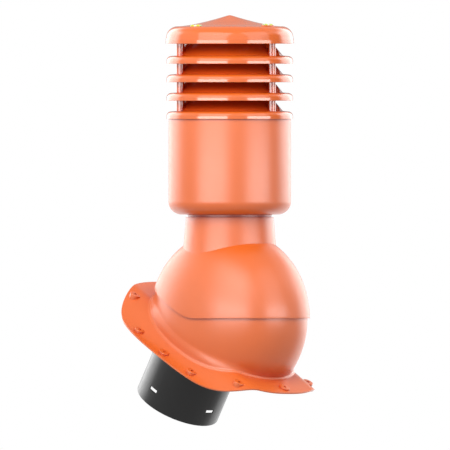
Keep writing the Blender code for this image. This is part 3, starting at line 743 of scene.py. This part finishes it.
def cap(mat):
    """The cap with the ends of its posts and the seats of the levels."""
    outer = cap_outline()
    inner = inset(outer[:-CAP_FOOT_ROUND], WALL)
    inner[0] = (0.0, inner[0][1])
    inner.append((inner[-1][0] + CAP_FOOT_SLANT, 0.0))
    body = turned("cap_shell", outer + inner[::-1], CAP_PLACE)
    meet = POST_TOP + FIT - (CAP_BOTTOM - RING_BOTTOMS[0])
    posts = rods("cap_posts", POST_PLACES, POST_RADIUS, meet, CAP_SKIRT + CAP_CORNER - CAP_POST_SUNK,
                 CAP_PLACE)
    under = inset(outer[:-CAP_FOOT_ROUND], WALL / 2)
    under[0] = (0.0, under[0][1])
    under = under[:-1] + [(under[-1][0], 0.0), (0.0, 0.0)]
    combine(posts, turned("under_cap", under, CAP_PLACE), "INTERSECT")
    combine(body, posts, "UNION")
    half_width, half_length = LEVEL_RADIUS + SEAT_MARGIN, LEVEL_LENGTH / 2 + SEAT_MARGIN
    for turn, height in LEVELS:
        seat = block("seat", (LEVEL_RING - half_width, -half_length, height - SEAT_DEPTH),
                     (LEVEL_RING + half_width, half_length, height),
                     CAP_PLACE @ Matrix.Rotation(turn, 4, "Z"), edge=SEAT_CORNER)
        combine(body, seat, "UNION")
        groove = rods("groove", [(0, 0, 0)], LEVEL_RADIUS + FIT, -LEVEL_LENGTH / 2 - FIT,
                      LEVEL_LENGTH / 2 + FIT, lying_level(turn, height), steps=GROOVE_STEPS)
        combine(body, groove, "DIFFERENCE")
    return dress(body, mat, "stack", ["cap"])


def levels(fluid):
    """The two spirit levels. Each lies along Z of its own object, with its bubble in the middle."""
    for index, (turn, height) in enumerate(LEVELS):
        vial = rods(f"level_tube_{index + 1}", [(0, 0, 0)], LEVEL_RADIUS, -LEVEL_LENGTH / 2,
                    LEVEL_LENGTH / 2, Matrix.Identity(4), edge=ROD_EDGE)
        vial.matrix_world = lying_level(turn, height)
        dress(vial, fluid, "stack", [f"level_vial_{index + 1}"])


# Materials

ORANGE = (0.58, 0.100, 0.008)
PAINTED_SHADE_ORANGE = (0.46, 0.028, 0.004)         # painted shade: the orange darkened where ambient occlusion finds nearby surfaces, in crevices and recesses
BLACK = (0.006, 0.006, 0.006)
# Reach, strength and samples of the ambient occlusion that paints this shade
PAINTED_SHADE_REACH = 0.05                       # distance in metres within which a neighbouring surface darkens the colour with painted shade
PAINTED_SHADE_SHARES = (0.25, 0.85)              # open share of the surroundings: full painted shade, no painted shade
PAINTED_SHADE_SAMPLES = 12
MOTTLE_SCALE, MOTTLE_DETAIL = 38.0, 4.0    # uneven colour
SMUDGE_SCALE, SMUDGE_DETAIL = 90.0, 3.0    # uneven gloss
SMUDGE_RANGE = (0.87, 1.16)                # its roughness, as a share of the plastic's own
SWELL_SCALE, SWELL_DETAIL = 16.0, 1.0      # slow waves of the wall
SWELL_STRENGTH, SWELL_HEIGHT = 0.12, 0.0016
GRAIN_DETAIL = 2.0                         # fine grain
GRAIN_STRENGTH, GRAIN_HEIGHT = 0.10, 0.00005
FLUID_COLOURS = ((0.62, 0.66, 0.05), (0.78, 0.80, 0.10))
FLUID_SCALE, FLUID_DETAIL = 200.0, 2.0
FLUID_ROUGHNESS = 0.06
FLUID_TRANSMISSION = 0.35
BUBBLE_COLOUR = (0.86, 0.92, 0.74)
BUBBLE_FADE = 0.0006                       # width of the bubble's soft edge
LEVEL_END_COLOUR = (0.60, 0.72, 0.42)
LEVEL_END_REACH = (0.0026, 0.0018)         # distance from a level's end: fluid's colour, end's colour

# Sockets of a colour Mix node
SHARE, FIRST_COLOUR, SECOND_COLOUR, MIXED_COLOUR = 0, 6, 7, 2


def node(tree, kind, **values):
    """A new node with its properties set."""
    made = tree.nodes.new(kind)
    for key, value in values.items():
        setattr(made, key, value)
    return made


def noise(tree, place, scale, detail):
    """A noise value that stays fixed to the object."""
    made = node(tree, "ShaderNodeTexNoise")
    made.inputs["Scale"].default_value = scale
    made.inputs["Detail"].default_value = detail
    tree.links.new(place.outputs["Object"], made.inputs["Vector"])
    return made.outputs["Fac"]


def mixed(tree, share, first, second):
    """A colour between two, by a share. Each of the two is a colour or an output."""
    made = node(tree, "ShaderNodeMix", data_type="RGBA")
    tree.links.new(share, made.inputs[SHARE])
    for socket, colour in ((FIRST_COLOUR, first), (SECOND_COLOUR, second)):
        if isinstance(colour, tuple):
            made.inputs[socket].default_value = (*colour, 1)
        else:
            tree.links.new(colour, made.inputs[socket])
    return made.outputs[MIXED_COLOUR]


def ranged(tree, value, side, low, high):
    """A value mapped to low and high from 0 and 1 for the side To, or back for the side From."""
    made = node(tree, "ShaderNodeMapRange")
    made.inputs[f"{side} Min"].default_value = low
    made.inputs[f"{side} Max"].default_value = high
    tree.links.new(value, made.inputs["Value"])
    return made.outputs["Result"]


def bumped(tree, height, strength, distance, normal=None):
    """A normal with a relief, on top of another normal if there is one."""
    made = node(tree, "ShaderNodeBump")
    made.inputs["Strength"].default_value = strength
    made.inputs["Distance"].default_value = distance
    tree.links.new(height, made.inputs["Height"])
    if normal is not None:
        tree.links.new(normal, made.inputs["Normal"])
    return made.outputs["Normal"]


def plastic(name, colour, spread, roughness, grain, sheen=0.5, relief=1.0, painted_shade=None):
    """Moulded plastic: slightly uneven colour and gloss, a fine grain and slow waves of the wall.
    In crevices and recesses it turns to the colour of painted shade, if there is one, as ambient
    occlusion darkens it."""
    mat = bpy.data.materials.new(name)
    mat.use_nodes = True
    tree = mat.node_tree
    shader = tree.nodes["Principled BSDF"]
    shader.inputs["Specular IOR Level"].default_value = sheen
    place = node(tree, "ShaderNodeTexCoord")
    darker = tuple(c * (1 - spread) for c in colour)
    lighter = tuple(min(1.0, c * (1 + spread)) for c in colour)
    shown = mixed(tree, noise(tree, place, MOTTLE_SCALE, MOTTLE_DETAIL), darker, lighter)
    # Painted shade: the base colour is darkened where ambient occlusion finds nearby surfaces
    if painted_shade:
        around = node(tree, "ShaderNodeAmbientOcclusion", samples=PAINTED_SHADE_SAMPLES)
        around.inputs["Distance"].default_value = PAINTED_SHADE_REACH
        shown = mixed(tree, ranged(tree, around.outputs["AO"], "From", *PAINTED_SHADE_SHARES), painted_shade, shown)
    tree.links.new(shown, shader.inputs["Base Color"])
    low, high = (roughness * share for share in SMUDGE_RANGE)
    smudge = noise(tree, place, SMUDGE_SCALE, SMUDGE_DETAIL)
    tree.links.new(ranged(tree, smudge, "To", low, high), shader.inputs["Roughness"])
    waves = noise(tree, place, SWELL_SCALE, SWELL_DETAIL)
    fine = noise(tree, place, grain, GRAIN_DETAIL)
    slow = bumped(tree, waves, SWELL_STRENGTH * relief, SWELL_HEIGHT)
    quick = bumped(tree, fine, GRAIN_STRENGTH * relief, GRAIN_HEIGHT, slow)
    tree.links.new(quick, shader.inputs["Normal"])
    return mat


def fluid_material():
    """Fluid of a level as it shows in its tube, with a bubble half way and paler ends."""
    mat = bpy.data.materials.new("level_fluid")
    mat.use_nodes = True
    tree = mat.node_tree
    shader = tree.nodes["Principled BSDF"]
    shader.inputs["Roughness"].default_value = FLUID_ROUGHNESS
    shader.inputs["Transmission Weight"].default_value = FLUID_TRANSMISSION
    place = node(tree, "ShaderNodeTexCoord")
    shown = mixed(tree, noise(tree, place, FLUID_SCALE, FLUID_DETAIL), *FLUID_COLOURS)
    apart = node(tree, "ShaderNodeSeparateXYZ")
    tree.links.new(place.outputs["Object"], apart.inputs[0])
    along = node(tree, "ShaderNodeMath", operation="ABSOLUTE")
    tree.links.new(apart.outputs["Z"], along.inputs[0])
    bubble = (BUBBLE_LENGTH / 2, BUBBLE_LENGTH / 2 - BUBBLE_FADE)
    ends = tuple(LEVEL_LENGTH / 2 - distance for distance in LEVEL_END_REACH)
    for reach, colour in ((bubble, BUBBLE_COLOUR), (ends, LEVEL_END_COLOUR)):
        shown = mixed(tree, ranged(tree, along.outputs[0], "From", *reach), shown, colour)
    tree.links.new(shown, shader.inputs["Base Color"])
    return mat


# Studio

PIXEL = 0.001746           # metres of the object for each pixel of the photo
PHOTO_SIZE = 450           # pixels each way
AXIS_PIXEL = (229.75, 318.4)  # middle of the dome in the photo
VIEW_TURN = math.radians(45)  # azimuth of the camera round the object
CAMERA_DISTANCE = 3.0
CAMERA_REACH = 20          # distance to which the camera sees
OBJECT_MIDDLE = 0.32       # height of the point that the lights look at
LIGHT_DISTANCE = 2.6
FRONT_LIGHT = 1.2          # light of the pale room in front of the object
RIGHT_LIGHT = 0.4          # light of its right side
ROOF_LIGHT = 0.80          # light from straight above
BACKDROP_LIGHT = 4.8       # light of the white backdrop round the back of the object
BACKDROP_TOP_LIGHT = 0.9   # light over the backdrop
BEHIND_LIGHT = 0.6         # light of the backdrop straight behind the object
GROUND_LIGHT = 0.80        # light from below
GROUND_BACK_LIGHT = 2.2    # light of the ground under the backdrop

# Where one light of the room starts to give way to the next and where it has done so, as the share of
# a direction in the view: 1 is straight along it, 0 is across it
RIGHT_SHARES = (0.80, 0.97)
PANEL_SHARES = (0.20, 0.38)
BACKDROP_TOP_SHARES = (0.42, 0.66)
BACKDROP_SHARES = (0.18, 0.46)
ROOF_SHARES = (0.58, 0.84)
GROUND_BACK_SHARES = (0.35, 0.65)
HORIZON_SHARES = (-0.12, 0.04)

FLOOR_DROP = 0.30          # from the object's lowest point down to the floor
FLOOR_REACH = 6            # half the floor's length
FLOOR_COLOURS = ((0.86, 0.86, 0.86), (0.90, 0.90, 0.90))
FLOOR_ROUGHNESS = 0.9
FLOOR_SCALE = 3.0


def across_view(distance):
    """A step to the right in the photo, in the world."""
    return Vector((math.cos(VIEW_TURN), math.sin(VIEW_TURN), 0)) * distance


def towards(turn, height, distance):
    """A point round the object: turn in degrees to the right of the camera as seen from the object."""
    angle = VIEW_TURN - math.pi / 2 + math.radians(turn)
    return Vector((math.cos(angle), math.sin(angle), 0)) * distance + Vector((0, 0, height))


def camera():
    """The camera at the photograph's angle, with its frame."""
    data = bpy.data.cameras.new("camera")
    data.type = "ORTHO"
    data.ortho_scale = PHOTO_SIZE * PIXEL
    data.clip_end = CAMERA_REACH
    obj = bpy.data.objects.new("camera", data)
    bpy.context.scene.collection.objects.link(obj)
    middle = AXIS + across_view((PHOTO_SIZE / 2 - AXIS_PIXEL[0]) * PIXEL)
    middle.z += (AXIS_PIXEL[1] - PHOTO_SIZE / 2) * PIXEL
    obj.location = middle + towards(0, 0, CAMERA_DISTANCE)
    obj.rotation_euler = (math.pi / 2, 0, VIEW_TURN)
    bpy.context.scene.camera = obj


def softbox(name, turn, rise, width, tall, radiance, diffuse=True, gloss=True):
    """A softbox round the middle of the object, hidden from the camera. Its place and its sizes are
    angles in degrees. It lights dull surfaces if diffuse, and glossy ones mirror it if gloss."""
    data = bpy.data.lights.new(name, "AREA")
    data.shape = "RECTANGLE"
    data.size = 2 * LIGHT_DISTANCE * math.tan(math.radians(width / 2))
    data.size_y = 2 * LIGHT_DISTANCE * math.tan(math.radians(tall / 2))
    data.energy = radiance * math.pi * data.size * data.size_y
    obj = bpy.data.objects.new(name, data)
    bpy.context.scene.collection.objects.link(obj)
    middle = Vector((AXIS.x, AXIS.y, OBJECT_MIDDLE))
    rise = math.radians(rise)
    obj.location = middle + towards(turn, 0, math.cos(rise) * LIGHT_DISTANCE)
    obj.location.z += math.sin(rise) * LIGHT_DISTANCE
    obj.rotation_euler = (middle - obj.location).to_track_quat("-Z", "Y").to_euler()
    obj.visible_camera = False
    obj.visible_diffuse = diffuse
    obj.visible_glossy = gloss


def world():
    """White to the camera. For the light it is a pale room with a bright backdrop at the back."""
    scene = bpy.context.scene
    scene.world = bpy.data.worlds.new("studio")
    scene.world.use_nodes = True
    tree = scene.world.node_tree
    tree.nodes.clear()
    out = node(tree, "ShaderNodeOutputWorld")
    shown = node(tree, "ShaderNodeBackground")
    shown.inputs["Color"].default_value = (1, 1, 1, 1)
    shown.inputs["Strength"].default_value = 1.0
    lit = node(tree, "ShaderNodeBackground")
    coordinates = node(tree, "ShaderNodeTexCoord")

    def blend(direction, shares, low, high, both=False):
        """A light level that goes from low to high as the view turns towards a direction,
        or, for both, towards it or away from it."""
        dot = node(tree, "ShaderNodeVectorMath", operation="DOT_PRODUCT")
        dot.inputs[1].default_value = direction
        tree.links.new(coordinates.outputs["Generated"], dot.inputs[0])
        ramp = node(tree, "ShaderNodeMapRange", interpolation_type="SMOOTHSTEP")
        ramp.inputs["From Min"].default_value = shares[0]
        ramp.inputs["From Max"].default_value = shares[1]
        for socket, value in ((ramp.inputs["To Min"], low), (ramp.inputs["To Max"], high)):
            if isinstance(value, float):
                socket.default_value = value
            else:
                tree.links.new(value, socket)
        turned_to = dot.outputs["Value"]
        if both:
            size = node(tree, "ShaderNodeMath", operation="ABSOLUTE")
            tree.links.new(turned_to, size.inputs[0])
            turned_to = size.outputs[0]
        tree.links.new(turned_to, ramp.inputs["Value"])
        return ramp.outputs["Result"]

    up = Vector((0, 0, 1))
    right = towards(90, 0, 1)
    back = -towards(0, 0, 1)
    sides = blend(right, RIGHT_SHARES, FRONT_LIGHT, RIGHT_LIGHT)
    panels = blend(right, PANEL_SHARES, BEHIND_LIGHT, BACKDROP_LIGHT, both=True)
    backdrop = blend(up, BACKDROP_TOP_SHARES, panels, BACKDROP_TOP_LIGHT)
    round_room = blend(back, BACKDROP_SHARES, sides, backdrop)
    over = blend(up, ROOF_SHARES, round_room, ROOF_LIGHT)
    ground = blend(back, GROUND_BACK_SHARES, GROUND_LIGHT, GROUND_BACK_LIGHT)
    level = blend(up, HORIZON_SHARES, ground, over)
    tree.links.new(level, lit.inputs["Strength"])
    rays = node(tree, "ShaderNodeLightPath")
    mix = node(tree, "ShaderNodeMixShader")
    tree.links.new(rays.outputs["Is Camera Ray"], mix.inputs[0])
    tree.links.new(lit.outputs[0], mix.inputs[1])
    tree.links.new(shown.outputs[0], mix.inputs[2])
    tree.links.new(mix.outputs[0], out.inputs["Surface"])


def floor():
    """A plain pale floor under the object, which neither lights it nor shows in it."""
    level = cad_box[0][2] - FLOOR_DROP
    corners = [(x * FLOOR_REACH, y * FLOOR_REACH, level) for x, y in ((-1, -1), (1, -1), (1, 1), (-1, 1))]
    ground = new_piece("studio_floor", corners, [(0, 1, 2, 3)])
    mat = bpy.data.materials.new("floor")
    mat.use_nodes = True
    tree = mat.node_tree
    shader = tree.nodes["Principled BSDF"]
    shader.inputs["Roughness"].default_value = FLOOR_ROUGHNESS
    mottle = node(tree, "ShaderNodeTexNoise")
    mottle.inputs["Scale"].default_value = FLOOR_SCALE
    shown = mixed(tree, mottle.outputs["Fac"], *FLOOR_COLOURS)
    tree.links.new(shown, shader.inputs["Base Color"])
    ground.data.materials.append(mat)
    ground.visible_diffuse = False
    ground.visible_glossy = False


def main():
    # Both orange plastics carry painted shade in their crevices and recesses
    satin = plastic("orange_plastic", ORANGE, spread=0.03, roughness=0.35, grain=900.0, sheen=1.0,
                    painted_shade=PAINTED_SHADE_ORANGE)
    gloss = plastic("orange_gloss", ORANGE, spread=0.02, roughness=0.12, grain=900.0, sheen=1.0,
                    relief=0.2, painted_shade=PAINTED_SHADE_ORANGE)
    black = plastic("black_plastic", BLACK, spread=0.10, roughness=0.34, grain=700.0)
    fluid = fluid_material()
    roof_moulding(satin)
    dome_floor(satin)
    duct_pipe(black)
    upper_shell(satin)
    hood(satin)
    louvre_rings(gloss)
    cap(gloss)
    levels(fluid)
    camera()
    softbox("key_softbox", turn=-15, rise=36, width=40, tall=30, radiance=6.0, gloss=False)
    softbox("left_softbox", turn=-32, rise=34, width=52, tall=44, radiance=1.5)
    softbox("right_softbox", turn=55, rise=34, width=42, tall=44, radiance=0.9)
    softbox("left_strip", turn=-32, rise=0, width=56, tall=12, radiance=6.0, diffuse=False)
    softbox("right_strip", turn=55, rise=0, width=46, tall=12, radiance=6.0, diffuse=False)
    world()
    floor()
    bpy.context.scene.view_settings.view_transform = "Standard"


main()
